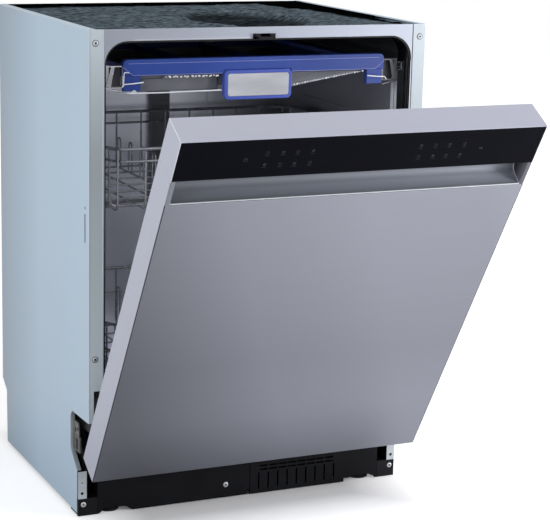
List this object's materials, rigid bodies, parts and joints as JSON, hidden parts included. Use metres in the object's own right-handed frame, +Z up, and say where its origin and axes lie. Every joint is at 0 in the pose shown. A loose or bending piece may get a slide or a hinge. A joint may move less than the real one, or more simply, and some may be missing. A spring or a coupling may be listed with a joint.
{
  "type": "built-in dishwasher",
  "caption": "Built-in dishwasher with a steel front, touch glass strip over a full-width grip, door ajar, wire racks on rollers and a cutlery tray with a centre handle.",
  "frame": {"origin": "on the floor, on the centre line, in the plane of the cabinet's front flanges", "axes": "+X to the right seen from the front, +Y to the back, +Z up"},
  "size_m": [0.598, 0.9062, 0.82],
  "materials": {
    "cabinet_sheet": "satin",
    "tub_steel": "bright",
    "door_steel": "brushed along X",
    "door_paint": "satin",
    "control_glass": "polished, black backed",
    "mat": "matt, bitumen coated",
    "black_plastic": "matt",
    "black_sheet": "matt",
    "zinc": "galvanised",
    "rubber": "matt",
    "grey_plastic": "satin",
    "dark_plastic": "matt",
    "white_plastic": "satin",
    "filter_steel": "perforated",
    "rail_steel": "bright",
    "tray_grey": "satin",
    "tray_blue": "satin",
    "tray_light": "satin",
    "basket_wire": "nylon coated",
    "board_green": "matt"
  },
  "bodies": {
    "cabinet": {"side_panel_left": "cabinet_sheet", "side_panel_right": "cabinet_sheet", "tub": "tub_steel", "top_insulation": "mat", "side_insulation": "mat", "rear_cover": "black_sheet", "base_tray": "black_plastic", "plinth_panel": "black_plastic", "plinth_grille": "black_plastic", "base_end_blocks": "black_plastic", "panel_screws": "zinc", "hinge_brackets": "zinc", "door_springs": "zinc", "door_gasket": "rubber", "latch_striker": "zinc", "sump": "dark_plastic", "filter_plate": "filter_steel", "circulation_pump": "dark_plastic", "drain_pump": "dark_plastic", "inlet_valve": "white_plastic", "power_inlet": "black_plastic", "water_softener": "white_plastic", "air_break": "white_plastic", "feed_pipe": "grey_plastic", "tray_rails": "rail_steel", "basket_rails": "rail_steel"},
    "door": {"door_outer_panel": "door_steel", "door_side_walls": "door_paint", "door_top_cap": "door_paint", "handle_recess": "door_steel", "control_fascia": "control_glass", "control_board": "board_green", "door_latch": "black_plastic", "door_inner_liner": "tub_steel", "door_insulation": "mat", "door_bottom_seal": "rubber", "hinge_arms": "zinc", "detergent_dispenser": "grey_plastic"},
    "dispenser_lid": {"dispenser_lid": "grey_plastic"},
    "rinse_aid_cap": {"rinse_aid_cap": "white_plastic"},
    "salt_cap": {"salt_cap": "white_plastic"},
    "filter": {"filter_cylinder": "dark_plastic"},
    "cutlery_tray": {"cutlery_tray_frame": "tray_grey", "tray_troughs": "tray_grey", "tray_front_bar": "tray_blue", "tray_handle": "tray_light"},
    "upper_basket": {"upper_basket": "basket_wire", "upper_feed_tube": "grey_plastic"},
    "cup_shelf": {"cup_shelf": "basket_wire"},
    "upper_arm": {"upper_spray_arm": "grey_plastic"},
    "upper_rollers_front": {"upper_rollers_front": "grey_plastic"},
    "upper_rollers_rear": {"upper_rollers_rear": "grey_plastic"},
    "lower_basket": {"lower_basket": "basket_wire"},
    "lower_wheels_front": {"lower_wheels_front": "grey_plastic"},
    "lower_wheels_rear": {"lower_wheels_rear": "grey_plastic"},
    "lower_arm": {"lower_spray_arm": "grey_plastic"},
    "ceiling_arm": {"ceiling_spray_arm": "grey_plastic"},
    "front_foot_left": {"front_foot_left": "black_plastic"},
    "front_foot_right": {"front_foot_right": "black_plastic"},
    "rear_foot": {"rear_foot": "black_plastic"}
  },
  "joints": [
    {"name": "door_hinge", "type": "hinge", "parent": "cabinet", "child": "door", "pos_m": [0, -0.0143, 0.162], "axis": [1, 0, 0], "range_deg": [-31.2, 58.8]},
    {"name": "dispenser_lid_slide", "type": "slide", "parent": "door", "child": "dispenser_lid", "axis": [0, 0.518, -0.8554], "range_m": [0, 0.07]},
    {"name": "rinse_aid_cap_turn", "type": "hinge", "parent": "door", "child": "rinse_aid_cap", "pos_m": [0.035, -0.17545, 0.45956], "axis": [0, 0.8554, 0.518], "range_deg": [0, 90]},
    {"name": "salt_cap_turn", "type": "hinge", "parent": "cabinet", "child": "salt_cap", "pos_m": [0.2, 0.16, 0.19], "axis": [0, 0, 1], "range_deg": [0, 270]},
    {"name": "filter_turn", "type": "hinge", "parent": "cabinet", "child": "filter", "pos_m": [0.04, 0.27, 0.17], "axis": [0, 0, 1], "range_deg": [0, 90]},
    {"name": "cutlery_tray_slide", "type": "slide", "parent": "cabinet", "child": "cutlery_tray", "axis": [0, -1, 0], "range_m": [0, 0.31]},
    {"name": "upper_basket_slide", "type": "slide", "parent": "cabinet", "child": "upper_basket", "axis": [0, -1, 0], "range_m": [0, 0.22]},
    {"name": "cup_shelf_fold", "type": "hinge", "parent": "upper_basket", "child": "cup_shelf", "pos_m": [-0.24, 0.235, 0.6], "axis": [0, 1, 0], "range_deg": [0, 90]},
    {"name": "upper_arm_spin", "type": "hinge", "parent": "upper_basket", "child": "upper_arm", "pos_m": [0, 0.235, 0.494], "axis": [0, 0, 1], "continuous": true},
    {"name": "upper_rollers_front_roll", "type": "hinge", "parent": "upper_basket", "child": "upper_rollers_front", "pos_m": [0, 0.35, 0.583], "axis": [1, 0, 0], "range_deg": [0, 1400]},
    {"name": "upper_rollers_rear_roll", "type": "hinge", "parent": "upper_basket", "child": "upper_rollers_rear", "pos_m": [0, 0.425, 0.583], "axis": [1, 0, 0], "range_deg": [0, 1400]},
    {"name": "lower_basket_slide", "type": "slide", "parent": "cabinet", "child": "lower_basket", "axis": [0, -1, 0], "range_m": [0, 0.05]},
    {"name": "lower_wheels_front_roll", "type": "hinge", "parent": "lower_basket", "child": "lower_wheels_front", "pos_m": [0, 0.075, 0.1983], "axis": [1, 0, 0], "range_deg": [0, 200]},
    {"name": "lower_wheels_rear_roll", "type": "hinge", "parent": "lower_basket", "child": "lower_wheels_rear", "pos_m": [0, 0.405, 0.1983], "axis": [1, 0, 0], "range_deg": [0, 200]},
    {"name": "lower_arm_spin", "type": "hinge", "parent": "cabinet", "child": "lower_arm", "pos_m": [0, 0.24, 0.205], "axis": [0, 0, 1], "continuous": true},
    {"name": "ceiling_arm_spin", "type": "hinge", "parent": "cabinet", "child": "ceiling_arm", "pos_m": [0, 0.24, 0.78], "axis": [0, 0, 1], "continuous": true},
    {"name": "front_foot_left_level", "type": "slide", "parent": "cabinet", "child": "front_foot_left", "axis": [0, 0, -1], "range_m": [0, 0.04]},
    {"name": "front_foot_right_level", "type": "slide", "parent": "cabinet", "child": "front_foot_right", "axis": [0, 0, -1], "range_m": [0, 0.04]},
    {"name": "rear_foot_level", "type": "slide", "parent": "cabinet", "child": "rear_foot", "axis": [0, 0, -1], "range_m": [0, 0.04]}
  ],
  "couplings": [
    {"joint": "upper_rollers_front_roll", "follows": "upper_basket_slide", "rad_per_m": 103.09},
    {"joint": "upper_rollers_rear_roll", "follows": "upper_basket_slide", "rad_per_m": 103.09},
    {"joint": "lower_wheels_front_roll", "follows": "lower_basket_slide", "rad_per_m": 62.5},
    {"joint": "lower_wheels_rear_roll", "follows": "lower_basket_slide", "rad_per_m": 62.5}
  ]
}
